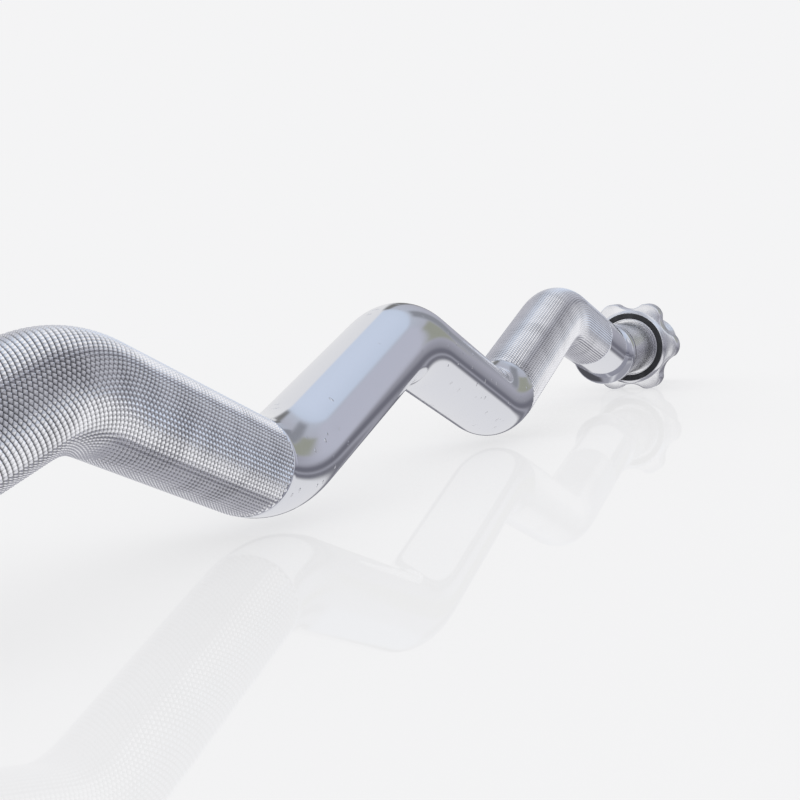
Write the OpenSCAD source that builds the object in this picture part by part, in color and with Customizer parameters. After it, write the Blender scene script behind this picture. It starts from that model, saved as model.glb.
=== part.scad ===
// Curl bar: a solid bar bent into a shallow W, with a smooth sleeve at each end.
// Millimetres. X runs along the sleeves, Z is up, the bar stands on the lobes of its nuts.
// X = 0 is the middle of the bar and Z = 0 is the lowest point of the nuts.

/* [Bar] */
// Overall length of the bar, end to end
bar_l = 1194; // [1000:1:1400]
// Diameter of the grips and the sleeves
bar_d = 28; // [25:0.1:32]
// Distance from the middle to the bend where a sleeve starts
end_bend_x = 421; // [380:0.5:460]
// Distance from the middle to the outer raised bend
outer_peak_x = 284; // [250:0.5:320]
// Height of the outer raised bend over the sleeve axis, at the crossing of the straight runs
outer_peak_z = 24.3; // [0:0.1:60]
// Distance from the middle to the lowered bend
valley_x = 142.2; // [110:0.1:180]
// Height of the lowered bend against the sleeve axis, at the crossing of the straight runs
valley_z = -10; // [-40:0.1:0]
// Height of the middle bend over the sleeve axis, at the crossing of the straight runs
middle_peak_z = 23.9; // [0:0.1:60]
// Centre line radius of the five grip bends
grip_bend_r = 100; // [50:1:160]

/* [Collar] */
// Distance from the middle to the collar's inner face
collar_x = 412.5; // [380:0.5:460]
// Diameter over the collar's rim
collar_d = 32; // [30:0.1:50]
// Width of the collar along the sleeve
collar_w = 11.5; // [4:0.1:20]
// Bevel on both edges of the collar's rim
collar_bevel = 0.6; // [0:0.1:2]
// Diameter of the pin that locks the collar
pin_d = 3; // [2:0.1:5]
// Length of the pin, from the collar's rim towards the middle of the bar
pin_l = 10; // [6:0.5:15]
// Wall of the rolled pin
pin_wall = 0.6; // [0.3:0.1:1]
// Width of the slit along the rolled pin
pin_slit = 0.6; // [0.3:0.1:1.2]
// Angle of the pin below the horizontal, on the front side
pin_turn = 12; // [0:1:90]

/* [Thread] */
// Distance from the middle to the shoulder where the thread starts
thread_x = 505; // [480:0.5:560]
// Radial step from the sleeve down to the crests of the thread
thread_step = 0.25; // [0.2:0.05:0.5]
// Advance of the nut in one turn
thread_pitch = 3; // [1.5:0.5:4]
// Depth of the thread, drawn as ring grooves
thread_depth = 1.4; // [0.5:0.1:2]
// Flat left on each crest of the thread
crest_flat = 0.6; // [0.3:0.1:1.5]
// Flat left at each root of the thread
root_flat = 0.1; // [0.05:0.05:0.5]
// Bevel on the end of the bar
end_bevel = 1.5; // [0.5:0.1:3]

/* [Star nut] */
// Distance from the middle to the plane of the rubber ring's face
nut_x = 498.7; // [480:0.1:560]
// Diameter over the tips of the six lobes
nut_d = 52.6; // [45:0.1:70]
// Radius of a lobe's tip
lobe_r = 8; // [5:0.1:12]
// Number of lobes
lobes = 6; // [3:1:8]
// Distance from the axis to the bottom of a hollow between two lobes
hollow_depth_r = 21.1; // [18:0.1:30]
// Radius of a hollow between two lobes
hollow_r = 10.6; // [6:0.1:20]
// Radius of the round core under the lobes
core_r = 23.6; // [20:0.1:30]
// Thickness of the lobed body
nut_w = 15; // [8:0.1:25]
// Bevel turned on the tips of the lobes
nut_bevel = 1.2; // [0:0.1:2.5]
// Height of the round boss on the lobed body's inner face
boss_h = 3.8; // [1:0.1:8]
// Diameter of the boss at its foot
boss_d = 41.2; // [38:0.1:50]
// Slope of the boss, measured across its flank
boss_slope = 1.4; // [0:0.1:3]
// Radial clearance between the nut's bore and the crests of the thread
bore_gap = 0.05; // [0.01:0.01:0.1]
// Diameter of the wide mouth that passes over the sleeve
mouth_d = 30.6; // [29:0.1:34]
// Space left between the nut and the shoulder that stops it
stop_gap = 0.2; // [0:0.1:1]

/* [Rubber ring] */
// Outer diameter of the rubber ring
rubber_d = 37.4; // [34:0.1:44]
// Inner diameter of the rubber ring
rubber_hole_d = 32; // [31:0.1:38]
// Depth of the groove that holds the ring
rubber_seat = 4; // [2:0.1:6]
// How far the ring stands out of the nut's face
rubber_proud = 0.5; // [0:0.1:2]
// Bevel on the ring's outer edges
rubber_bevel = 0.4; // [0:0.1:1]
// Clearance round the ring in its groove, so that the nut turns freely behind it
rubber_gap = 0.05; // [0.01:0.01:0.1]

/* [Parts shown] */
// The part to draw, or all of them

/* [Hidden] */
$fn = 96;
overlap = 1;
bar_r = bar_d / 2;
// Runs and bends stop this far short of each other, and a ball a little thicker than the bar joins them
joint_gap = 0.3;
joint_r = bar_r + 0.05;
// The knuckle under a collar is upset a little more, so that the sleeve begins at the collar's face
knuckle_r = bar_r + 0.3;
thread_lap = 0.5;
half_l = bar_l / 2;
collar_r = collar_d / 2;
pin_r = pin_d / 2;
rim_inset = 0.1;
nut_r = nut_d / 2;
lobe_centre = nut_r - lobe_r;
hollow_centre = hollow_depth_r + hollow_r;
lobe_step = 360 / lobes;
// The nut's two lowest lobes point 60 degrees below the horizontal
axis_z = lobe_centre * sin(lobe_step) + lobe_r;
crest_r = bar_r - thread_step;
root_r = crest_r - thread_depth;
thread_l = half_l - thread_x;
flank = (thread_pitch - crest_flat - root_flat) / 2;
// Width of the groove's cutter where it stands clear of the crests
groove_top = root_flat + 2 * flank * (1 + overlap / thread_depth);
ring_count = floor((thread_l - end_bevel) / thread_pitch) - 1;
bore_r = crest_r + bore_gap;
face_x = nut_x + rubber_proud;
seat_depth = rubber_seat - rubber_proud + rubber_gap;
body_x = face_x + boss_h;

// Corners of the centre line in the XZ plane, from the left end to the right end
corners = [
    [-thread_x, 0],
    [-end_bend_x, 0],
    [-outer_peak_x, outer_peak_z],
    [-valley_x, valley_z],
    [0, middle_peak_z],
    [valley_x, valley_z],
    [outer_peak_x, outer_peak_z],
    [end_bend_x, 0],
    [thread_x, 0]
];
last = len(corners) - 1;

function run(i) = corners[i + 1] - corners[i];
function heading(i) = atan2(run(i)[1], run(i)[0]);
function turn(i) = heading(i) - heading(i - 1);
function is_end(i) = i == 0 || i == last;
// The grips' bends are round; the collars cover the bends next to the sleeves, which are plain knuckles
function is_grip_bend(i) = i > 1 && i < last - 1;
function setback(i) = is_grip_bend(i) ? grip_bend_r * tan(abs(turn(i)) / 2) : 0;
function gap(i) = is_end(i) ? 0 : joint_gap;
function straight_l(i) = norm(run(i)) - setback(i) - setback(i + 1) - gap(i) - gap(i + 1);
// The bend's centre lies on the side that the centre line turns towards
function side(i) = turn(i) > 0 ? 1 : -1;
function along(i) = [cos(heading(i)), sin(heading(i))];
function across(i) = [-sin(heading(i)), cos(heading(i))];
function bend_start(i) = corners[i] - setback(i) * along(i - 1);
function bend_end(i) = corners[i] + setback(i) * along(i);
function bend_centre(i) = bend_start(i) + side(i) * grip_bend_r * across(i - 1);
function sweep_start(i) = turn(i) > 0 ? heading(i - 1) - 90 : heading(i) + 90;
gap_angle = joint_gap / grip_bend_r * 180 / PI;

// Puts what follows at a point of the centre line's plane
module at(p) {
    translate([p[0], 0, p[1]]) children();
}

module straight(i) {
    at(corners[i])
        rotate([0, 90 - heading(i), 0])
            translate([0, 0, setback(i) + gap(i)])
                cylinder(r = bar_r, h = straight_l(i));
}

module bend(i) {
    at(bend_centre(i))
        rotate([90, 0, 0])
            rotate([0, 0, sweep_start(i) + gap_angle])
                rotate_extrude(angle = abs(turn(i)) - 2 * gap_angle)
                    translate([grip_bend_r, 0])
                        circle(r = bar_r);
    at(bend_start(i)) sphere(r = joint_r);
    at(bend_end(i)) sphere(r = joint_r);
}

module knuckle(i) {
    at(corners[i]) sphere(r = knuckle_r);
}

// One end of the bar past the shoulder: crest cylinder with a bevelled end, drawn along +X
module thread_blank() {
    translate([thread_x, 0, 0])
        rotate([0, 90, 0])
            rotate_extrude()
                polygon([
                    [0, -thread_lap],
                    [crest_r, -thread_lap],
                    [crest_r, thread_l - end_bevel],
                    [crest_r - end_bevel, thread_l],
                    [0, thread_l]
                ]);
}

// One ring groove of the thread, as a cutter
module groove() {
    rotate_extrude()
        polygon([
            [root_r, -root_flat / 2],
            [root_r, root_flat / 2],
            [crest_r + overlap, groove_top / 2],
            [crest_r + overlap, -groove_top / 2]
        ]);
}

module thread_end() {
    difference() {
        thread_blank();
        for (i = [1 : ring_count])
            translate([thread_x + i * thread_pitch, 0, 0])
                rotate([0, 90, 0])
                    groove();
    }
}

// The bore of the pin, from outside the collar to the pin's inner end
module pin_place() {
    translate([collar_x + collar_w / 2, 0, 0])
        rotate([90 + pin_turn, 0, 0])
            translate([0, 0, collar_r - rim_inset - pin_l])
                children();
}

module pin_hole() {
    pin_place() cylinder(r = pin_r, h = pin_l + overlap);
}

module bent_bar() {
    for (i = [0 : last - 1]) straight(i);
    for (i = [2 : last - 2]) bend(i);
    knuckle(1);
    knuckle(last - 1);
}

module shaft() {
    color([0.8, 0.8, 0.84])
        translate([0, 0, axis_z])
            difference() {
                union() {
                    bent_bar();
                    thread_end();
                    mirror([1, 0, 0]) thread_end();
                }
                pin_hole();
                mirror([1, 0, 0]) pin_hole();
            }
}

// The right hand collar, bored to the bar that it sits on
module collar() {
    difference() {
        translate([collar_x, 0, 0])
            rotate([0, 90, 0])
                rotate_extrude()
                    polygon([
                        [0, 0],
                        [collar_r - collar_bevel, 0],
                        [collar_r, collar_bevel],
                        [collar_r, collar_w - collar_bevel],
                        [collar_r - collar_bevel, collar_w],
                        [0, collar_w]
                    ]);
        straight(last - 2);
        knuckle(last - 1);
        straight(last - 1);
        pin_hole();
    }
}

module collar_right() {
    color([0.78, 0.78, 0.82]) translate([0, 0, axis_z]) collar();
}

module collar_left() {
    color([0.78, 0.78, 0.82]) translate([0, 0, axis_z]) mirror([1, 0, 0]) collar();
}

module rolled_pin() {
    pin_place()
        difference() {
            cylinder(r = pin_r, h = pin_l);
            translate([0, 0, -overlap])
                cylinder(r = pin_r - pin_wall, h = pin_l + 2 * overlap);
            translate([0, -pin_slit / 2, -overlap])
                cube([pin_d, pin_slit, pin_l + 2 * overlap]);
        }
}

module pin_right() {
    color([0.35, 0.35, 0.38]) translate([0, 0, axis_z]) rolled_pin();
}

module pin_left() {
    color([0.35, 0.35, 0.38]) translate([0, 0, axis_z]) mirror([1, 0, 0]) rolled_pin();
}

// A turned disc of the nut's thickness with bevelled edges
module bevelled_round(r) {
    rotate_extrude()
        polygon([
            [0, 0],
            [r - nut_bevel, 0],
            [r, nut_bevel],
            [r, nut_w - nut_bevel],
            [r - nut_bevel, nut_w],
            [0, nut_w]
        ]);
}

// Outline of the six lobes and the hollows between them
module star_outline() {
    difference() {
        union() {
            circle(r = core_r);
            for (i = [0 : lobes - 1])
                rotate([0, 0, i * lobe_step])
                    translate([lobe_centre, 0])
                        circle(r = lobe_r);
        }
        for (i = [0 : lobes - 1])
            rotate([0, 0, (i + 0.5) * lobe_step])
                translate([hollow_centre, 0])
                    circle(r = hollow_r);
    }
}

module lobed_body() {
    intersection() {
        linear_extrude(height = nut_w) star_outline();
        bevelled_round(nut_r);
    }
}

// The boss with its groove for the rubber ring, standing on the lobed body
module boss() {
    rotate_extrude()
        polygon([
            [0, overlap],
            [boss_d / 2, overlap],
            [boss_d / 2, 0],
            [boss_d / 2 - boss_slope, -boss_h],
            [0, -boss_h]
        ]);
}

module ring_seat() {
    translate([0, 0, -boss_h - overlap])
        rotate_extrude()
            translate([rubber_hole_d / 2 - rubber_gap, 0])
                square([(rubber_d - rubber_hole_d) / 2 + 2 * rubber_gap, seat_depth + overlap]);
}

module nut() {
    translate([body_x, 0, 0])
        rotate([0, 90, 0])
            rotate([0, 0, 90])
                difference() {
                    union() {
                        lobed_body();
                        boss();
                    }
                    ring_seat();
                    translate([0, 0, -boss_h - overlap])
                        cylinder(r = bore_r, h = boss_h + nut_w + 2 * overlap);
                    translate([0, 0, -boss_h - overlap])
                        cylinder(d = mouth_d, h = thread_x + stop_gap - face_x + overlap);
                    translate([0, 0, nut_w - nut_bevel])
                        cylinder(r1 = bore_r, r2 = bore_r + nut_bevel + overlap, h = nut_bevel + overlap);
                }
}

module nut_right() {
    color([0.75, 0.75, 0.77]) translate([0, 0, axis_z]) nut();
}

module nut_left() {
    color([0.75, 0.75, 0.77]) translate([0, 0, axis_z]) mirror([1, 0, 0]) nut();
}

module rubber_ring() {
    translate([nut_x, 0, 0])
        rotate([0, 90, 0])
            rotate_extrude()
                polygon([
                    [rubber_hole_d / 2, rubber_bevel],
                    [rubber_hole_d / 2 + rubber_bevel, 0],
                    [rubber_d / 2 - rubber_bevel, 0],
                    [rubber_d / 2, rubber_bevel],
                    [rubber_d / 2, rubber_seat],
                    [rubber_hole_d / 2, rubber_seat]
                ]);
}

module ring_right() {
    color([0.12, 0.12, 0.13]) translate([0, 0, axis_z]) rubber_ring();
}

module ring_left() {
    color([0.12, 0.12, 0.13]) translate([0, 0, axis_z]) mirror([1, 0, 0]) rubber_ring();
}

shaft();
collar_right();
collar_left();
pin_right();
pin_left();
nut_right();
nut_left();
ring_right();
ring_left();
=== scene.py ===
from math import atan2, cos, hypot, pi, radians, sin, sqrt, tan

import bmesh
import bpy
from mathutils import Matrix, Vector


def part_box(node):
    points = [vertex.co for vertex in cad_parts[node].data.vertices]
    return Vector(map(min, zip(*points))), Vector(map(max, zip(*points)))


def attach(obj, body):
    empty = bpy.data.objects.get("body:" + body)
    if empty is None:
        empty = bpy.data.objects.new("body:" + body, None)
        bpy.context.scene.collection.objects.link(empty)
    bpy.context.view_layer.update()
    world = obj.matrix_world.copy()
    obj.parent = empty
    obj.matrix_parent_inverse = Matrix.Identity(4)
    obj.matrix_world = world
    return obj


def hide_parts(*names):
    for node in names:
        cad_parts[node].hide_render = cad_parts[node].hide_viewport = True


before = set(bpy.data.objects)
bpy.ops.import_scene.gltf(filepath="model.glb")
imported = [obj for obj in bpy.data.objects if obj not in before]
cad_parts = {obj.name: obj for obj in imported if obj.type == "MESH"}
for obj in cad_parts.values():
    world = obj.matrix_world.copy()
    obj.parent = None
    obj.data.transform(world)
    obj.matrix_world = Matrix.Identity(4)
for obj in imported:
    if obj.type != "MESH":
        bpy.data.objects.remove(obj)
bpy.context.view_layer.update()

scene = bpy.context.scene
print("Curl bar: frame loaded")

noiseSpan = (0.3, 0.7)  # most of a noise texture's values lie between these


def newMaterial(name):
    material = bpy.data.materials.new(name)
    material.use_nodes = True
    nodes, links = material.node_tree.nodes, material.node_tree.links
    nodes.clear()
    output = nodes.new("ShaderNodeOutputMaterial")
    shader = nodes.new("ShaderNodeBsdfPrincipled")
    links.new(shader.outputs[0], output.inputs[0])
    coords = nodes.new("ShaderNodeTexCoord")
    return material, nodes, links, shader, coords.outputs["Object"]


def noiseOn(nodes, links, coords, scale, detail=3.0, stretch=(1, 1, 1)):
    mapping = nodes.new("ShaderNodeMapping")
    mapping.inputs["Scale"].default_value = stretch
    links.new(coords, mapping.inputs["Vector"])
    noise = nodes.new("ShaderNodeTexNoise")
    noise.inputs["Scale"].default_value = scale
    noise.inputs["Detail"].default_value = detail
    links.new(mapping.outputs[0], noise.inputs["Vector"])
    return noise.outputs["Fac"]


def ranged(nodes, links, value, fromLow, fromHigh, toLow, toHigh):
    node = nodes.new("ShaderNodeMapRange")
    node.interpolation_type = "SMOOTHSTEP"
    node.inputs["From Min"].default_value = fromLow
    node.inputs["From Max"].default_value = fromHigh
    node.inputs["To Min"].default_value = toLow
    node.inputs["To Max"].default_value = toHigh
    links.new(value, node.inputs["Value"])
    return node.outputs["Result"]


def mixedColour(nodes, links, factor, first, second):
    node = nodes.new("ShaderNodeMix")
    node.data_type = "RGBA"
    node.inputs["A"].default_value = (*first, 1)
    node.inputs["B"].default_value = (*second, 1)
    links.new(factor, node.inputs["Factor"])
    return node.outputs["Result"]


def bumpFrom(nodes, links, height, distance, strength, shader):
    bump = nodes.new("ShaderNodeBump")
    bump.inputs["Distance"].default_value = distance
    bump.inputs["Strength"].default_value = strength
    links.new(height, bump.inputs["Height"])
    links.new(bump.outputs[0], shader.inputs["Normal"])


def makeChrome():
    look = {
        "colour": (0.82, 0.83, 0.87),
        "nickColour": (0.93, 0.93, 0.95),
        "polish": (0.045, 0.12),
        "smudgeScale": 42,
        "smudgeEdge": (0.35, 0.75),
        "patchScale": 17,
        "patchEdge": (0.45, 0.55),
        "nickScale": 210,
        "nickTurn": (0.3, 0.5, 0.9),
        "nickStretch": (1, 0.35, 1),
        "nickSize": 0.15,
        "nickRoughness": 0.38,
        "nickDepth": 0.0003,
        "nickStrength": 0.7,
    }
    material, nodes, links, shader, coords = newMaterial("polishedChrome")
    shader.inputs["Metallic"].default_value = 1
    smudge = noiseOn(nodes, links, coords, look["smudgeScale"], detail=5)
    polish = ranged(nodes, links, smudge, *look["smudgeEdge"], *look["polish"])
    # small bright nicks in loose patches, as on a bar that has been handled
    cells = nodes.new("ShaderNodeTexVoronoi")
    cells.inputs["Scale"].default_value = look["nickScale"]
    stretch = nodes.new("ShaderNodeMapping")
    stretch.inputs["Rotation"].default_value = look["nickTurn"]
    stretch.inputs["Scale"].default_value = look["nickStretch"]
    links.new(coords, stretch.inputs["Vector"])
    links.new(stretch.outputs[0], cells.inputs["Vector"])
    size = look["nickSize"]
    spots = ranged(nodes, links, cells.outputs["Distance"], size * 0.5, size, 1, 0)
    patchNoise = noiseOn(nodes, links, coords, look["patchScale"], detail=2)
    patches = ranged(nodes, links, patchNoise, *look["patchEdge"], 0, 1)
    nicks = nodes.new("ShaderNodeMath")
    nicks.operation = "MULTIPLY"
    links.new(spots, nicks.inputs[0])
    links.new(patches, nicks.inputs[1])
    colour = mixedColour(nodes, links, nicks.outputs[0], look["colour"], look["nickColour"])
    links.new(colour, shader.inputs["Base Color"])
    blend = nodes.new("ShaderNodeMix")
    blend.data_type = "FLOAT"
    blend.inputs["B"].default_value = look["nickRoughness"]
    links.new(nicks.outputs[0], blend.inputs["Factor"])
    links.new(polish, blend.inputs["A"])
    links.new(blend.outputs["Result"], shader.inputs["Roughness"])
    bumpFrom(nodes, links, nicks.outputs[0], look["nickDepth"], look["nickStrength"], shader)
    return material


def makeKnurlChrome():
    look = {
        "crestColour": (0.95, 0.95, 0.97),
        # the grooves are near black: painted shade in the knurl's recesses, while the crests keep
        # the metal's light colour
        "paintedGrooveShade": (0.05, 0.05, 0.06),
        "roughness": (0.30, 0.12),  # in the grooves and on the crests
        "wearScale": 70,
        "wear": (0.75, 1.1),
        "crestEdge": (0.03, 0.6),
    }
    material, nodes, links, shader, coords = newMaterial("knurledChrome")
    shader.inputs["Metallic"].default_value = 1
    crest = nodes.new("ShaderNodeAttribute")
    crest.attribute_name = "crest"
    wearNoise = noiseOn(nodes, links, coords, look["wearScale"], detail=4)
    wear = ranged(nodes, links, wearNoise, *noiseSpan, *look["wear"])
    height = nodes.new("ShaderNodeMath")
    height.operation = "MULTIPLY"
    height.use_clamp = True
    links.new(crest.outputs["Fac"], height.inputs[0])
    links.new(wear, height.inputs[1])
    # from crest to groove the colour darkens to the painted groove shade
    tone = ranged(nodes, links, height.outputs[0], *look["crestEdge"], 0, 1)
    colour = mixedColour(nodes, links, tone, look["paintedGrooveShade"], look["crestColour"])
    links.new(colour, shader.inputs["Base Color"])
    roughness = ranged(nodes, links, height.outputs[0], 0, 1, *look["roughness"])
    links.new(roughness, shader.inputs["Roughness"])
    return material


def makeTurnedSteel():
    look = {
        "light": (0.94, 0.94, 0.95),
        "dark": (0.87, 0.87, 0.89),
        "roughness": (0.15, 0.23),
        "ringScale": 900,
        "ringStretch": (1, 0.02, 0.02),
        "ringEdge": (0.35, 0.65),
        "cloudScale": 60,
    }
    material, nodes, links, shader, coords = newMaterial("turnedSteel")
    shader.inputs["Metallic"].default_value = 1
    # the lathe leaves rings round the sleeve, so its grain is fine along the bar and long round it
    rings = noiseOn(nodes, links, coords, look["ringScale"], stretch=look["ringStretch"])
    clouds = noiseOn(nodes, links, coords, look["cloudScale"])
    bands = ranged(nodes, links, rings, *look["ringEdge"], 0, 1)
    colour = mixedColour(nodes, links, bands, look["dark"], look["light"])
    links.new(colour, shader.inputs["Base Color"])
    roughness = ranged(nodes, links, clouds, *noiseSpan, *look["roughness"])
    links.new(roughness, shader.inputs["Roughness"])
    return material


def makeSatinPlate():
    look = {
        "colour": (0.93, 0.93, 0.94),
        "shade": (0.87, 0.87, 0.885),
        "roughness": (0.15, 0.22),
        "cloudScale": 90,
        "shadeEdge": (0.3, 0.75),
        "grainScale": 1500,
        "grainDepth": 0.00001,
        "grainStrength": 0.25,
    }
    material, nodes, links, shader, coords = newMaterial("satinPlate")
    shader.inputs["Metallic"].default_value = 1
    clouds = noiseOn(nodes, links, coords, look["cloudScale"], detail=4)
    grain = noiseOn(nodes, links, coords, look["grainScale"], detail=2)
    shade = ranged(nodes, links, clouds, *look["shadeEdge"], 0, 1)
    colour = mixedColour(nodes, links, shade, look["colour"], look["shade"])
    links.new(colour, shader.inputs["Base Color"])
    roughness = ranged(nodes, links, clouds, *noiseSpan, *look["roughness"])
    links.new(roughness, shader.inputs["Roughness"])
    bumpFrom(nodes, links, grain, look["grainDepth"], look["grainStrength"], shader)
    return material


def makeRubber():
    look = {
        "colour": (0.024, 0.025, 0.028),
        "dust": (0.06, 0.061, 0.066),
        "roughness": (0.48, 0.68),
        "dustScale": 160,
        "dustEdge": (0.45, 0.8),
        "grainScale": 1400,
        "grainDepth": 0.00005,
        "grainStrength": 0.4,
    }
    material, nodes, links, shader, coords = newMaterial("blackRubber")
    dust = noiseOn(nodes, links, coords, look["dustScale"], detail=5)
    grain = noiseOn(nodes, links, coords, look["grainScale"], detail=2)
    dusty = ranged(nodes, links, dust, *look["dustEdge"], 0, 1)
    colour = mixedColour(nodes, links, dusty, look["colour"], look["dust"])
    links.new(colour, shader.inputs["Base Color"])
    roughness = ranged(nodes, links, dust, *noiseSpan, *look["roughness"])
    links.new(roughness, shader.inputs["Roughness"])
    bumpFrom(nodes, links, grain, look["grainDepth"], look["grainStrength"], shader)
    return material


def makeSpringSteel():
    look = {
        "colour": (0.42, 0.42, 0.45),
        "oxide": (0.22, 0.22, 0.24),
        "roughness": (0.28, 0.45),
        "spotScale": 700,
        "spotEdge": (0.35, 0.7),
    }
    material, nodes, links, shader, coords = newMaterial("springSteel")
    shader.inputs["Metallic"].default_value = 1
    spots = noiseOn(nodes, links, coords, look["spotScale"], detail=4)
    oxide = ranged(nodes, links, spots, *look["spotEdge"], 0, 1)
    colour = mixedColour(nodes, links, oxide, look["colour"], look["oxide"])
    links.new(colour, shader.inputs["Base Color"])
    roughness = ranged(nodes, links, spots, *noiseSpan, *look["roughness"])
    links.new(roughness, shader.inputs["Roughness"])
    return material


chrome = makeChrome()
knurlChrome = makeKnurlChrome()
turnedSteel = makeTurnedSteel()
satinPlate = makeSatinPlate()
rubber = makeRubber()
springSteel = makeSpringSteel()
print("Curl bar: materials ready")


# the bar's centre line: straight runs and bends through the corners of its zigzag

bar = {
    "radius": 0.014,
    "shoulderX": 0.505,  # where the thread starts
    "endBendX": 0.421,
    "outerPeak": (0.284, 0.0243),
    "valley": (0.1422, -0.010),
    "middlePeakZ": 0.0239,
    "gripBendRadius": 0.100,
    "endBendRadius": 0.030,
    "ringStep": 0.002,  # spacing of the rings along the swept tube
    "ringEdge": 0.00025,  # rounding at the ends of each smooth length
    "segments": 128,
}
ringLow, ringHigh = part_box("ring_right")
axisZ = (ringLow.z + ringHigh.z) / 2


def makeCorners():
    half = [
        (0, bar["middlePeakZ"]), bar["valley"], bar["outerPeak"],
        (bar["endBendX"], 0), (bar["shoulderX"], 0),
    ]
    left = [(-x, z) for x, z in reversed(half[1:])]
    return [Vector((x, axisZ + z)) for x, z in left + half]


def makeCentreLine():
    corners = makeCorners()
    count = len(corners)
    parts, start = [], corners[0]
    for i in range(1, count):
        before = (corners[i] - corners[i - 1]).normalized()
        if i == count - 1:
            parts.append(("run", start, atan2(before.y, before.x), (corners[i] - start).length, 0))
            break
        after = (corners[i + 1] - corners[i]).normalized()
        turn = atan2(after.y, after.x) - atan2(before.y, before.x)
        radius = bar["endBendRadius"] if i in (1, count - 2) else bar["gripBendRadius"]
        setback = radius * tan(abs(turn) / 2)
        entry = corners[i] - setback * before
        parts.append(("run", start, atan2(before.y, before.x), (entry - start).length, 0))
        parts.append(("bend", entry, atan2(before.y, before.x), radius * abs(turn), turn))
        start = corners[i] + setback * after
    return parts


lineParts = makeCentreLine()
lineLength = sum(part[3] for part in lineParts)


def frameAt(distance):
    # distance is measured along the centre line from the middle of the bar, to the right
    left = distance + lineLength / 2
    for part in lineParts:
        kind, start, heading, length, turn = part
        if left <= length or part is lineParts[-1]:
            break
        left -= length
    if kind == "run":
        point = start + left * Vector((cos(heading), sin(heading)))
        angle = heading
    else:
        radius = length / abs(turn)
        side = 1 if turn > 0 else -1
        centre = start + side * radius * Vector((-sin(heading), cos(heading)))
        angle = heading + turn * left / length
        point = centre + side * radius * Vector((sin(angle), -cos(angle)))
    return Matrix.Translation((point.x, 0, point.y)) @ Matrix.Rotation(-angle, 4, "Y")


def distanceAt(x):
    low, high = -lineLength / 2, lineLength / 2
    for _ in range(50):  # each round halves the gap
        middle = (low + high) / 2
        if frameAt(middle).translation.x < x:
            low = middle
        else:
            high = middle
    return (low + high) / 2


acrossX = Matrix.Rotation(pi / 2, 4, "Y")  # a circle made in XY then stands across X
weld = 1e-6  # points closer than this are one
fineWeld = 1e-7  # the same where parts are very small
slack = 1e-5  # a point this near a face or a rim counts as on it
halfRound = 0.3  # half-way round a small edge, the metal is cut back by this share of its width


def markSharp(bm, angle=radians(34)):
    for edge in bm.edges:
        edge.smooth = not (len(edge.link_faces) == 2 and edge.calc_face_angle(0) > angle)


def soften(bm, width, steps, angle=radians(40), keep=None):
    edges = [e for e in bm.edges if len(e.link_faces) == 2 and e.calc_face_angle(0) > angle]
    if keep:
        edges = [e for e in edges if keep(e)]
    bmesh.ops.bevel(
        bm, geom=edges, offset=width, offset_type="OFFSET", affect="EDGES",
        segments=steps, profile=0.5, material=-1, clamp_overlap=True,
    )


def placePiece(name, bm, material, body, nodes, flat=False):
    bmesh.ops.recalc_face_normals(bm, faces=bm.faces)
    if not flat:
        markSharp(bm)
    for face in bm.faces:
        face.smooth = not flat
    mesh = bpy.data.meshes.new(name)
    bm.to_mesh(mesh)
    bm.free()
    mesh.materials.append(material)
    piece = bpy.data.objects.new(name, mesh)
    scene.collection.objects.link(piece)
    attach(piece, body)
    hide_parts(*nodes)
    return piece


def closeHoles(bm):
    rim = [e for e in bm.edges if len(e.link_faces) == 1]
    bmesh.ops.holes_fill(bm, edges=rim, sides=0)


def turnedBody(profile, steps=144):
    # profile is a closed outline of (x, radius) points, spun round the X axis
    bm = bmesh.new()
    points = [bm.verts.new((x, 0, r)) for x, r in profile]
    lines = [bm.edges.new((points[i - 1], points[i])) for i in range(len(points))]
    bmesh.ops.spin(
        bm, geom=points + lines, cent=(0, 0, 0), axis=(1, 0, 0), dvec=(0, 0, 0),
        angle=2 * pi, steps=steps, use_merge=True, use_normal_flip=False, use_duplicate=False,
    )
    bmesh.ops.remove_doubles(bm, verts=bm.verts, dist=weld)
    bmesh.ops.recalc_face_normals(bm, faces=bm.faces)
    return bm


def toAxis(bm, side):
    # what was made along +X goes to its end of the bar
    # half a turn, and not a mirror, keeps a right-hand thread right-handed
    if side < 0:
        bmesh.ops.rotate(bm, verts=bm.verts, cent=(0, 0, 0), matrix=Matrix.Rotation(pi, 3, "Z"))
    bmesh.ops.translate(bm, verts=bm.verts, vec=(0, 0, axisZ))


def newRing(made):
    # of what an extrusion made, the points and the edges that run between two of them
    verts = [g for g in made if isinstance(g, bmesh.types.BMVert)]
    own = set(verts)
    edges = [g for g in made if isinstance(g, bmesh.types.BMEdge)]
    return verts, [e for e in edges if all(v in own for v in e.verts)]


def sweptTube(stations):
    # each station is a distance along the centre line and the tube's radius there
    bm = bmesh.new()
    first = stations[0]
    bmesh.ops.create_circle(
        bm, cap_ends=False, segments=bar["segments"], radius=first[1],
        matrix=frameAt(first[0]) @ acrossX,
    )
    ring = list(bm.edges)
    before = first
    for station in stations[1:]:
        made = bmesh.ops.extrude_edge_only(bm, edges=ring)["geom"]
        verts, ring = newRing(made)
        scale = station[1] / before[1]
        grow = Matrix.Diagonal((1, scale, scale, 1))
        step = frameAt(station[0]) @ grow @ frameAt(before[0]).inverted()
        bmesh.ops.transform(bm, verts=verts, matrix=step)
        before = station
    closeHoles(bm)
    return bm


def smoothStations(start, end):
    # a small rounded edge at both ends, and rings every few millimetres between them
    radius, edge = bar["radius"], bar["ringEdge"]
    length = end - start - 2 * edge
    count = max(2, round(length / bar["ringStep"]))
    inner = [(start + edge + length * k / count, radius) for k in range(count + 1)]
    opening = [(start, radius - edge), (start + halfRound * edge, radius - halfRound * edge)]
    closing = [(end - halfRound * edge, radius - halfRound * edge), (end, radius - edge)]
    return opening + inner + closing


# the bar's smooth middle, its two necks and its two knurled grips

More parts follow.
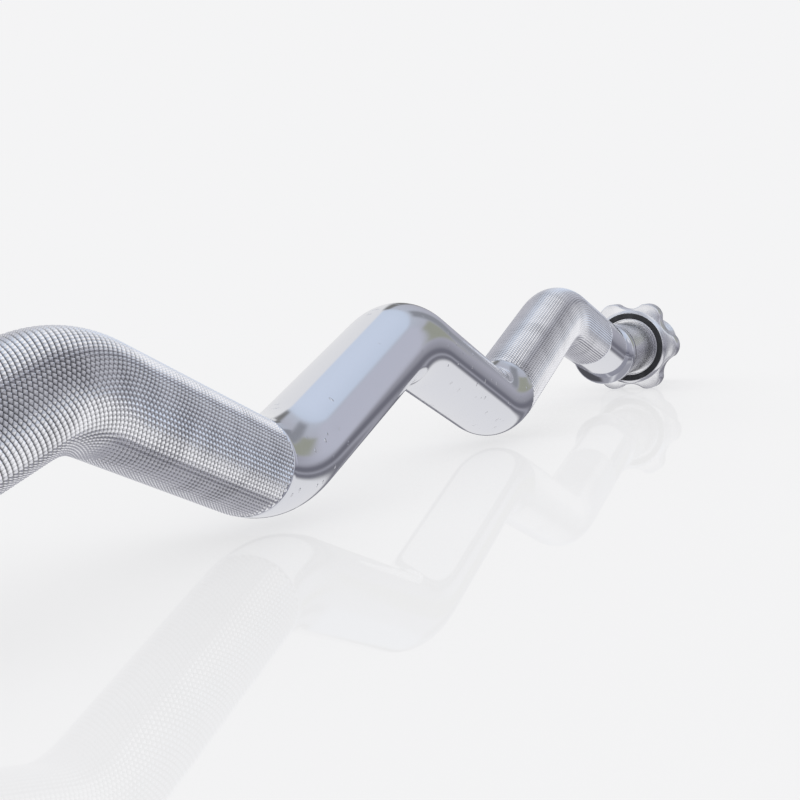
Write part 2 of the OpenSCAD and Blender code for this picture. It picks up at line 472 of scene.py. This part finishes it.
knurl = {
    "innerX": 0.1612,
    "outerX": 0.360,
    "around": 39,        # diamonds round the bar
    "pitchAlong": 0.00235,
    "rootRadius": 0.01336,
    "crestRadius": 0.01412,
    "crestWidth": 0.00018,
}
neck = {"endX": 0.4195}  # inside the collar
gripStart, gripEnd = distanceAt(knurl["innerX"]), distanceAt(knurl["outerX"])

middle = sweptTube(smoothStations(-gripStart, gripStart))
placePiece("barMiddle", middle, chrome, "bar", ["shaft"])
for sideName, side in (("Right", 1), ("Left", -1)):
    ends = sorted((side * gripEnd, side * distanceAt(neck["endX"])))
    bm = sweptTube(smoothStations(*ends))
    placePiece("barNeck" + sideName, bm, chrome, "bar", ["shaft"])
print("Curl bar: smooth bar swept")


def placeOf(vert):
    # a point's place in whole micrometres, to find it again after the seam is joined
    return tuple(round(c * 1e6) for c in vert.co)


def knurledGrip(start, end):
    columns = 2 * knurl["around"]
    rows = 2 * round((end - start) / knurl["pitchAlong"])
    bm = bmesh.new()
    bmesh.ops.create_grid(bm, x_segments=rows, y_segments=columns, size=0.5)
    high = []
    for vert in bm.verts:
        row, column = round((vert.co.x + 0.5) * rows), round((vert.co.y + 0.5) * columns)
        if (row + column) % 2 == 0 and 0 < row < rows:
            high.append(vert)
        vert.tag = (row + column) % 2 == 1
    # grooves run from low point to low point, which cuts each square of the grid into two
    bmesh.ops.connect_verts(bm, verts=[v for v in bm.verts if v.tag], check_degenerate=False)
    for vert in bm.verts:
        turn = 2 * pi * (vert.co.y + 0.5) - pi / 2
        along = (vert.co.x + 0.5) * (end - start)
        vert.co = Vector((along, knurl["rootRadius"] * cos(turn), knurl["rootRadius"] * sin(turn)))
    highPlaces = {placeOf(v) for v in high}
    bmesh.ops.remove_doubles(bm, verts=bm.verts, dist=weld)
    high = [v for v in bm.verts if placeOf(v) in highPlaces]
    made = bmesh.ops.bevel(
        bm, geom=high, offset=knurl["crestWidth"], offset_type="OFFSET", affect="VERTICES",
        segments=1, profile=0.5, material=-1, clamp_overlap=True,
    )
    crest = bm.verts.layers.float.new("crest")
    lift = knurl["crestRadius"] / knurl["rootRadius"]
    for vert in {v for face in made["faces"] for v in face.verts}:
        vert.co.y *= lift
        vert.co.z *= lift
        vert[crest] = 1
    closeHoles(bm)
    for vert in bm.verts:
        vert.co = frameAt(start + vert.co.x) @ Vector((0, vert.co.y, vert.co.z))
    return bm


for sideName, side in (("Right", 1), ("Left", -1)):
    ends = sorted((side * gripStart, side * gripEnd))
    bm = knurledGrip(*ends)
    grip = placePiece(
        "grip" + sideName, bm, knurlChrome, "bar", ["shaft"], flat=True,
    )
    print("Curl bar: grip" + sideName, len(grip.data.polygons), "faces")


# sleeves that the plates slide on, and the threaded ends outside them

sleeve = {
    "startX": 0.4185,
    "coreRadius": 0.009,   # hidden inner wall
    "edge": 0.0004,
    "rings": 20,
    "threadRadius": 0.01375,
    "threadDepth": 0.0014,
    "pitch": 0.003,
    "crestFlat": 0.0006,
    "rootFlat": 0.0001,
    "endX": 0.597,
    "endBevel": 0.0015,
    "runOut": 0.003,
    "overlap": 0.001,      # how far the thread starts inside the sleeve
    "stepsPerTurn": 60,
    "turnWeld": 5e-6,      # joins each turn of the thread to the next
}


def threadedEnd():
    crestR, rootR = sleeve["threadRadius"], sleeve["threadRadius"] - sleeve["threadDepth"]
    flank = (sleeve["pitch"] - sleeve["crestFlat"] - sleeve["rootFlat"]) / 2
    begin, end = bar["shoulderX"] - sleeve["overlap"], sleeve["endX"]
    firstX = begin - 2 * sleeve["pitch"]
    rootX = firstX + sleeve["crestFlat"] + flank
    profile = [
        (firstX, crestR), (firstX + sleeve["crestFlat"], crestR), (rootX, rootR),
        (rootX + sleeve["rootFlat"], rootR), (firstX + sleeve["pitch"], crestR),
    ]
    turns = int((end - firstX) / sleeve["pitch"]) + 2
    steps = sleeve["stepsPerTurn"]
    bm = bmesh.new()
    points = [bm.verts.new((x, 0, r)) for x, r in profile]
    lines = [bm.edges.new((points[i], points[i + 1])) for i in range(len(points) - 1)]
    bmesh.ops.spin(
        bm, geom=points + lines, cent=(0, 0, 0), axis=(1, 0, 0),
        dvec=(sleeve["pitch"] / steps, 0, 0), angle=2 * pi * turns, steps=steps * turns,
        use_merge=False, use_normal_flip=False, use_duplicate=False,
    )
    bmesh.ops.remove_doubles(bm, verts=bm.verts, dist=sleeve["turnWeld"])
    for x, outwards in ((begin, -1), (end, 1)):
        geom = list(bm.verts) + list(bm.edges) + list(bm.faces)
        bmesh.ops.bisect_plane(
            bm, geom=geom, dist=fineWeld, plane_co=(x, 0, 0), plane_no=(outwards, 0, 0),
            use_snap_center=False, clear_outer=True, clear_inner=False,
        )
    bmesh.ops.remove_doubles(bm, verts=bm.verts, dist=weld)
    for vert in bm.verts:
        r = hypot(vert.co.y, vert.co.z)
        fade = min(1, max(0, (vert.co.x - bar["shoulderX"]) / sleeve["runOut"]))
        wanted = crestR - (crestR - r) * fade
        wanted = min(wanted, crestR - max(0, vert.co.x - (end - sleeve["endBevel"])))
        vert.co.y *= wanted / r
        vert.co.z *= wanted / r
    closeHoles(bm)
    return bm


def sleeveBody():
    r, edge, core, count = bar["radius"], sleeve["edge"], sleeve["coreRadius"], sleeve["rings"]
    start, end = sleeve["startX"], bar["shoulderX"]
    length = end - start - 2 * edge
    return turnedBody([
        (start, core), (start, r - edge), (start + edge, r),
        *[(start + edge + length * k / count, r) for k in range(1, count)],
        (end - edge, r), (end - halfRound * edge, r - halfRound * edge),
        (end, r - edge), (end, core),
    ])


for sideName, side in (("Right", 1), ("Left", -1)):
    bm = sleeveBody()
    toAxis(bm, side)
    placePiece("sleeve" + sideName, bm, turnedSteel, "bar", ["shaft"])
    bm = threadedEnd()
    toAxis(bm, side)
    placePiece("thread" + sideName, bm, turnedSteel, "bar", ["shaft"])
print("Curl bar: sleeves and threads cut")


# collars and the pins through them

collar = {
    "innerX": 0.4125,
    "outerX": 0.424,
    "radius": 0.016,
    "boreRadius": 0.0141,
    "nearBore": 0.0137,
    "edge": 0.0006,
    "rise": 0.0014,   # how far the bore's near rim is raised
    "slope": 0.0007,  # how far the near face falls back at its outer rim
}
pin = {
    "x": 0.41825,
    "radius": 0.0015,
    "wall": 0.0006,
    "length": 0.010,
    "outerEnd": 0.0159,
    "tilt": radians(12),  # below the horizontal
    "slit": 0.0006,
    "edge": 0.00022,
    "steps": 48,
}


def collarBody():
    # the near rim of the bore sits a little high, as the bar's neck comes in at a slope
    c = collar
    bm = turnedBody([
        (c["innerX"], c["nearBore"]), (c["innerX"] + c["slope"], c["radius"]),
        (c["outerX"], c["radius"]), (c["outerX"], c["boreRadius"]),
    ])
    rim = c["radius"] - slack
    soften(bm, c["edge"], 4, keep=lambda e: all(hypot(v.co.y, v.co.z) > rim for v in e.verts))
    for vert in bm.verts:
        if vert.co.x < c["innerX"] + slack and hypot(vert.co.y, vert.co.z) < c["boreRadius"]:
            vert.co.z += c["rise"]
    return bm


def pinBody(side):
    slitTurn = pin["slit"] / pin["radius"]
    bm = bmesh.new()
    inner, outer, edge = pin["radius"] - pin["wall"], pin["radius"], pin["edge"]
    base, tip = pin["outerEnd"] - pin["length"], pin["outerEnd"]
    profile = [
        (inner, base), (outer, base), (outer, tip - edge),
        (outer - edge, tip), (inner + edge / 2, tip), (inner, tip - edge / 2),
    ]
    points = [bm.verts.new((r, 0, z)) for r, z in profile]
    outline = bm.faces.new(points)
    pastSlit = Matrix.Rotation(slitTurn / 2, 3, "Z")
    bmesh.ops.rotate(bm, verts=points, cent=(0, 0, 0), matrix=pastSlit)
    bmesh.ops.spin(
        bm, geom=[outline], cent=(0, 0, 0), axis=(0, 0, 1), dvec=(0, 0, 0),
        angle=2 * pi - slitTurn, steps=pin["steps"],
        use_merge=False, use_normal_flip=False, use_duplicate=False,
    )
    bmesh.ops.remove_doubles(bm, verts=bm.verts, dist=fineWeld)
    leanOut = Matrix.Rotation(pi / 2 + pin["tilt"], 3, "X")
    bmesh.ops.rotate(bm, verts=bm.verts, cent=(0, 0, 0), matrix=leanOut)
    bmesh.ops.translate(bm, verts=bm.verts, vec=(side * pin["x"], 0, axisZ))
    return bm


for sideName, side in (("Right", 1), ("Left", -1)):
    low = sideName.lower()
    bm = collarBody()
    toAxis(bm, side)
    placePiece("collar" + sideName, bm, chrome, "bar", ["collar_" + low])
    placePiece("pin" + sideName, pinBody(side), springSteel, "bar", ["pin_" + low])
print("Curl bar: collars and pins placed")


# star nuts and the rubber rings in their faces

nut = {
    "bodyX": 0.503,      # inner face of the lobed body
    "width": 0.015,
    "tipRadius": 0.008,
    "tipCentre": 0.0183,
    "hollowRadius": 0.0106,
    "hollowCentre": 0.0317,
    "coreRadius": 0.0236,
    "lobes": 6,
    "rimEdge": 0.0006,
    "bossEdge": 0.00028,
    "boreRadius": 0.0138,
    "boreBevel": 0.0012,
    "mouthRadius": 0.0153,
    "mouthDepth": 0.0022,
    "bossHeight": 0.0038,
    "bossFoot": 0.0206,
    "bossTop": 0.0192,
    "seatInner": 0.01595,
    "seatOuter": 0.01875,
    "seatDepth": 0.00355,
    "rimClear": 0.0002,  # edges this far outside the boss belong to the lobed rim
    "segments": 216,
}
seal = {
    "x": 0.4987,
    "depth": 0.004,
    "inner": 0.016,
    "outer": 0.0187,
    "edge": 0.00035,
}


def starRadius(angle):
    step = 2 * pi / nut["lobes"]
    offset = (angle + step / 2) % step - step / 2
    across = nut["tipCentre"] * sin(offset)
    reach = nut["coreRadius"]
    if abs(across) < nut["tipRadius"]:
        bulge = sqrt(nut["tipRadius"] ** 2 - across ** 2)
        reach = max(reach, nut["tipCentre"] * cos(offset) + bulge)
    fromHollow = step / 2 - abs(offset)
    across = nut["hollowCentre"] * sin(fromHollow)
    if abs(across) < nut["hollowRadius"]:
        dip = sqrt(nut["hollowRadius"] ** 2 - across ** 2)
        reach = min(reach, nut["hollowCentre"] * cos(fromHollow) - dip)
    return reach


def nutBody():
    # each loop is x from the lobed body's inner face and a radius, or None for the star's outline
    n = nut
    back, bore, mouth, top = n["width"], n["boreRadius"], n["mouthRadius"], -n["bossHeight"]
    seatFloor, backRim = top + n["seatDepth"], bore + n["boreBevel"]
    loops = [
        (back, backRim), (back - n["boreBevel"], bore),
        (n["mouthDepth"], bore), (n["mouthDepth"], mouth), (top, mouth),
        (top, n["seatInner"]), (seatFloor, n["seatInner"]),
        (seatFloor, n["seatOuter"]), (top, n["seatOuter"]),
        (top, n["bossTop"]), (0, n["bossFoot"]), (0, None), (back, None), (back, backRim),
    ]
    bm = bmesh.new()
    bmesh.ops.create_circle(bm, cap_ends=False, segments=n["segments"], radius=1, matrix=acrossX)
    ring, verts = list(bm.edges), list(bm.verts)
    for index, (x, radius) in enumerate(loops):
        if index:
            verts, ring = newRing(bmesh.ops.extrude_edge_only(bm, edges=ring)["geom"])
        for vert in verts:
            angle = atan2(vert.co.z, vert.co.y)
            reach = starRadius(angle) if radius is None else radius
            vert.co = Vector((x, reach * cos(angle), reach * sin(angle)))
    bmesh.ops.remove_doubles(bm, verts=bm.verts, dist=weld)
    bmesh.ops.recalc_face_normals(bm, faces=bm.faces)
    rim, face = n["bossFoot"] + n["rimClear"], top + slack
    soften(bm, n["rimEdge"], 4, keep=lambda e: all(hypot(v.co.y, v.co.z) > rim for v in e.verts))
    soften(bm, n["bossEdge"], 3, radians(30), lambda e: all(v.co.x < face for v in e.verts))
    bmesh.ops.translate(bm, verts=bm.verts, vec=(n["bodyX"], 0, 0))
    return bm


def sealBody():
    near, far, inner, outer = seal["x"], seal["x"] + seal["depth"], seal["inner"], seal["outer"]
    bm = turnedBody([(near, inner), (near, outer), (far, outer), (far, inner)])
    soften(bm, seal["edge"], 3, keep=lambda e: all(v.co.x < near + slack for v in e.verts))
    return bm


for sideName, side in (("Right", 1), ("Left", -1)):
    low = sideName.lower()
    bm = nutBody()
    toAxis(bm, side)
    placePiece("nut" + sideName, bm, satinPlate, "star_" + low, ["nut_" + low])
    bm = sealBody()
    toAxis(bm, side)
    placePiece("ring" + sideName, bm, rubber, "seal_" + low, ["ring_" + low])
print("Curl bar: nuts and rings placed")


studio = {
    "background": (0.905, 0.905, 0.912),
    "mirror": 0.085,       # share of the floor's look near the bar that is a reflection
    "shadow": 0.30,        # share of it that takes the object's shadow
    "fadeStart": 0.75,     # metres from the middle of the bar where both begin to fade
    "fadeEnd": 1.8,
    "floorSize": 60.0,
    "floorZ": -0.0001,     # just under the nuts, so nothing shows through it
    "paper": (0.995, 0.995, 0.995),
}


def makeFloor():
    bm = bmesh.new()
    bmesh.ops.create_grid(bm, x_segments=4, y_segments=4, size=studio["floorSize"])
    mesh = bpy.data.meshes.new("floor")
    bm.to_mesh(mesh)
    bm.free()
    floor = bpy.data.objects.new("floor", mesh)
    scene.collection.objects.link(floor)
    floor.location.z = studio["floorZ"]
    floor.visible_glossy = False  # polished metal sees the studio's own pale ground instead
    material, nodes, links, shader, coords = newMaterial("paleFloor")
    nodes.remove(shader)
    output = next(n for n in nodes if n.type == "OUTPUT_MATERIAL")
    length = nodes.new("ShaderNodeVectorMath")
    length.operation = "LENGTH"
    links.new(coords, length.inputs[0])
    away = length.outputs["Value"]
    near = ranged(nodes, links, away, studio["fadeStart"], studio["fadeEnd"], 1, 0)
    glow = nodes.new("ShaderNodeEmission")
    glow.inputs["Color"].default_value = (*studio["background"], 1)
    paper = nodes.new("ShaderNodeBsdfDiffuse")
    paper.inputs["Color"].default_value = (*studio["paper"], 1)
    mirror = nodes.new("ShaderNodeBsdfGlossy")
    mirror.inputs["Color"].default_value = (1, 1, 1, 1)
    mirror.inputs["Roughness"].default_value = 0

    def shareOf(first, second, share):
        amount = nodes.new("ShaderNodeMath")
        amount.operation = "MULTIPLY"
        amount.inputs[1].default_value = share
        links.new(near, amount.inputs[0])
        node = nodes.new("ShaderNodeMixShader")
        links.new(amount.outputs[0], node.inputs["Fac"])
        links.new(first.outputs[0], node.inputs[1])
        links.new(second.outputs[0], node.inputs[2])
        return node

    seen = shareOf(shareOf(glow, paper, studio["shadow"]), mirror, studio["mirror"])
    path = nodes.new("ShaderNodeLightPath")
    final = nodes.new("ShaderNodeMixShader")
    links.new(path.outputs["Is Camera Ray"], final.inputs["Fac"])
    links.new(paper.outputs[0], final.inputs[1])
    links.new(seen.outputs[0], final.inputs[2])
    links.new(final.outputs[0], output.inputs["Surface"])
    mesh.materials.append(material)


# the studio as polished metal sees it: height in degrees above the horizon, and the tone there
studioTones = [
    (-90, (0.70, 0.70, 0.72)),
    (-30, (0.79, 0.79, 0.81)),
    (-14.5, (0.77, 0.77, 0.79)),
    (-12.5, (0.20, 0.20, 0.23)),
    (-11, (0.17, 0.17, 0.20)),
    (-9.7, (0.36, 0.36, 0.41)),
    (-8.2, (0.16, 0.16, 0.19)),
    (-6.3, (0.17, 0.17, 0.205)),
    (-4, (0.29, 0.29, 0.33)),
    (2, (0.40, 0.40, 0.46)),
    (14, (0.46, 0.47, 0.53)),
    (24, (0.50, 0.53, 0.60)),
    (27, (0.60, 0.67, 0.79)),
    (40, (0.66, 0.73, 0.86)),
    (48, (0.60, 0.64, 0.72)),
    (65, (0.46, 0.47, 0.52)),
    (90, (0.46, 0.46, 0.49)),
]

# soft panels in it: bearing from +X towards +Y, height, half width and half height,
# softness, all in degrees, and the tone
studioPanels = [
    (33, 17, 18.5, 21, 1.5, (0.80, 0.80, 0.81)),
    (13.2, 11, 1.8, 13, 1.2, (0.20, 0.20, 0.20)),
    (-3.5, 13, 4, 10, 2.0, (0.27, 0.28, 0.31)),
    (-12.5, 8, 4.5, 6, 1.5, (0.33, 0.34, 0.29)),
    (-22, 10, 4.5, 14, 2.5, (0.52, 0.53, 0.61)),
    (-88, 24, 16, 22, 2.0, (0.93, 0.93, 0.95)),
    (-118, 12, 5, 12, 2.0, (0.24, 0.24, 0.28)),
    (-58, 10, 5, 12, 2.0, (0.26, 0.27, 0.31)),
    (98, 22, 18, 20, 2.0, (0.92, 0.92, 0.94)),
    (132, 12, 5, 12, 2.0, (0.24, 0.24, 0.27)),
    (120, -47, 58, 33, 4.0, (0.36, 0.36, 0.40)),
    (-120, -47, 58, 33, 4.0, (0.36, 0.36, 0.40)),
    (145, -26, 22, 10, 3.0, (0.09, 0.09, 0.10)),
    (170, 0, 16, 11, 3.0, (0.92, 0.92, 0.93)),
    (150, 32, 12, 14, 3.0, (0.88, 0.89, 0.92)),
    (-152, 30, 12, 16, 3.0, (0.88, 0.89, 0.92)),
]


def makeStudio():
    world = bpy.data.worlds.new("studio")
    scene.world = world
    world.use_nodes = True
    nodes, links = world.node_tree.nodes, world.node_tree.links
    nodes.clear()
    output = nodes.new("ShaderNodeOutputWorld")
    coords = nodes.new("ShaderNodeTexCoord")
    split = nodes.new("ShaderNodeSeparateXYZ")
    links.new(coords.outputs["Generated"], split.inputs[0])

    def maths(operation, first, second=None, number=None):
        node = nodes.new("ShaderNodeMath")
        node.operation = operation
        links.new(first, node.inputs[0])
        if second is not None:
            links.new(second, node.inputs[1])
        if number is not None:
            node.inputs[1].default_value = number
        return node.outputs[0]

    height = maths("MULTIPLY", maths("ARCSINE", split.outputs["Z"]), number=180 / pi)
    compass = maths("ARCTAN2", split.outputs["Y"], split.outputs["X"])
    bearing = maths("MULTIPLY", compass, number=180 / pi)
    ramp = nodes.new("ShaderNodeValToRGB")
    scaled = nodes.new("ShaderNodeMapRange")
    scaled.inputs["From Min"].default_value = -90
    scaled.inputs["From Max"].default_value = 90
    links.new(height, scaled.inputs["Value"])
    links.new(scaled.outputs["Result"], ramp.inputs[0])
    stops = ramp.color_ramp.elements
    stops.remove(stops[1])
    for index, (angle, colour) in enumerate(studioTones):
        stop = stops[0] if index == 0 else stops.new((angle + 90) / 180)
        stop.position = (angle + 90) / 180
        stop.color = (*colour, 1)
    tone = ramp.outputs["Color"]
    for at, up, halfWidth, halfHeight, soft, colour in studioPanels:
        beside = maths("ABSOLUTE", maths("SUBTRACT", bearing, number=at))
        above = maths("ABSOLUTE", maths("SUBTRACT", height, number=up))
        mask = maths(
            "MULTIPLY", ranged(nodes, links, beside, halfWidth - soft, halfWidth + soft, 1, 0),
            ranged(nodes, links, above, halfHeight - soft, halfHeight + soft, 1, 0),
        )
        mixed = nodes.new("ShaderNodeMix")
        mixed.data_type = "RGBA"
        mixed.inputs["B"].default_value = (*colour, 1)
        links.new(mask, mixed.inputs["Factor"])
        links.new(tone, mixed.inputs["A"])
        tone = mixed.outputs["Result"]
    # the camera, the matt surfaces and the floor's own reflection all see the plain background
    path = nodes.new("ShaderNodeLightPath")
    rough = maths("SUBTRACT", path.outputs["Is Glossy Ray"], path.outputs["Is Singular Ray"])
    plain = nodes.new("ShaderNodeMix")
    plain.data_type = "RGBA"
    plain.inputs["A"].default_value = (*studio["background"], 1)
    links.new(rough, plain.inputs["Factor"])
    links.new(tone, plain.inputs["B"])
    background = nodes.new("ShaderNodeBackground")
    links.new(plain.outputs["Result"], background.inputs["Color"])
    links.new(background.outputs[0], output.inputs["Surface"])


def makeCamera():
    view = {
        "place": (-0.7139, -0.192031, 0.045675 + axisZ),
        "right": (0.25788, -0.96583, -0.02608),
        "down": (-0.0637, 0.00994, -0.99792),
        "forward": (0.96408, 0.259, -0.05896),
        "lens": 97.875,
        "sensor": 36,
        "clip": (0.02, 300),
    }
    data = bpy.data.cameras.new("camera")
    data.lens = view["lens"]
    data.sensor_width = view["sensor"]
    data.clip_start, data.clip_end = view["clip"]
    camera = bpy.data.objects.new("camera", data)
    scene.collection.objects.link(camera)
    axes = [Vector(view["right"]), -Vector(view["down"]), -Vector(view["forward"])]
    turn = Matrix(axes).transposed().to_4x4()
    camera.matrix_world = Matrix.Translation(view["place"]) @ turn
    scene.camera = camera


makeFloor()
makeStudio()
makeCamera()
scene.view_settings.view_transform = "Standard"
print("Curl bar: studio ready")
